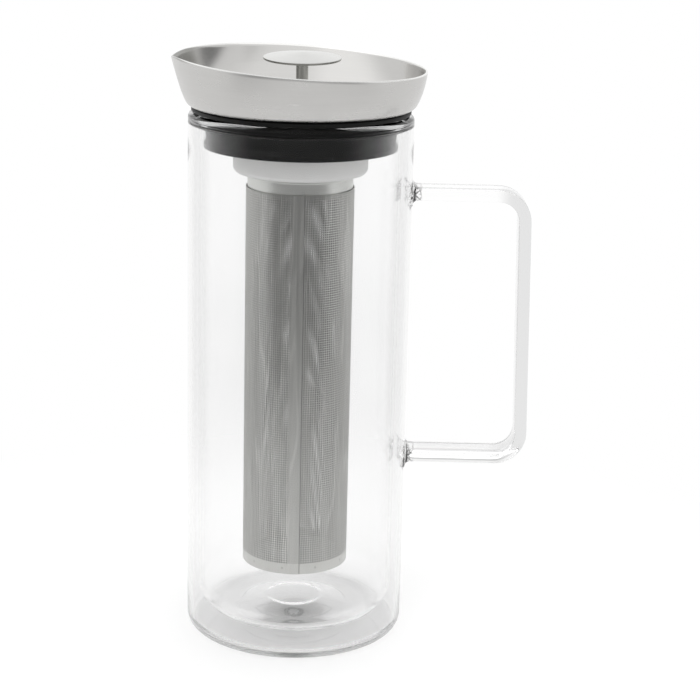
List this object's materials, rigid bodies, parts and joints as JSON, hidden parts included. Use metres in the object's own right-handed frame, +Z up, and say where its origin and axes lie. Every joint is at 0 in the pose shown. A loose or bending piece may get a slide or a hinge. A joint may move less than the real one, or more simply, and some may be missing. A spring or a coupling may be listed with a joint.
{
  "type": "iced tea maker",
  "caption": "Double-walled glass jug with a side handle, a steel pouring collar with a beak, a lift-out knob stopper and a long hanging steel filter for steeping cold drinks.",
  "frame": {"origin": "middle of the flat base, on the jug's axis", "axes": "+Z up along the jug's axis, +X towards the handle, -X towards the pouring beak"},
  "size_m": [0.1711, 0.1242, 0.2804],
  "materials": {
    "outer_glass": "clear, polished",
    "inner_glass": "clear, polished",
    "handle_glass": "clear, fire-polished",
    "clear_silicone": "soft, translucent",
    "black_silicone": "soft matt",
    "collar_steel": "satin",
    "throat_steel": "satin",
    "cup_steel": "satin",
    "neck_steel": "satin",
    "etched_foil": "fine etched holes",
    "ring_steel": "satin",
    "disc_foil": "fine etched holes",
    "plate_steel": "satin",
    "seal_silicone": "soft matt",
    "backing_steel": "satin",
    "spacer_steel": "satin",
    "nut_steel": "plain",
    "stem_steel": "polished",
    "knob_steel": "fine satin"
  },
  "bodies": {
    "jug": {"outer_glass_body": "outer_glass", "inner_glass_vessel": "inner_glass", "glass_handle": "handle_glass", "vent_plug": "clear_silicone"},
    "gasket": {"neck_gasket": "black_silicone"},
    "lid": {"pouring_collar": "collar_steel", "throat_tube": "throat_steel"},
    "filter": {"filter_cup": "cup_steel", "filter_neck": "neck_steel", "filter_foil": "etched_foil", "filter_end_ring": "ring_steel", "filter_end_disc": "disc_foil"},
    "stopper": {"stopper_plate": "plate_steel", "stopper_seal": "seal_silicone", "stopper_backing_plate": "backing_steel", "stopper_spacer": "spacer_steel", "stopper_nut": "nut_steel", "knob_stem": "stem_steel", "knob_disc": "knob_steel"}
  },
  "joints": [
    {"name": "lid_lift", "type": "slide", "parent": "jug", "child": "gasket", "axis": [0, 0, 1], "range_m": [0, 0.23]},
    {"name": "lid_turn", "type": "hinge", "parent": "gasket", "child": "lid", "pos_m": [0, 0, 0.2553], "axis": [0, 0, 1], "continuous": true},
    {"name": "filter_lift", "type": "slide", "parent": "lid", "child": "filter", "axis": [0, 0, 1], "range_m": [0, 0.25]},
    {"name": "stopper_lift", "type": "slide", "parent": "filter", "child": "stopper", "axis": [0, 0, 1], "range_m": [0, 0.04]}
  ]
}
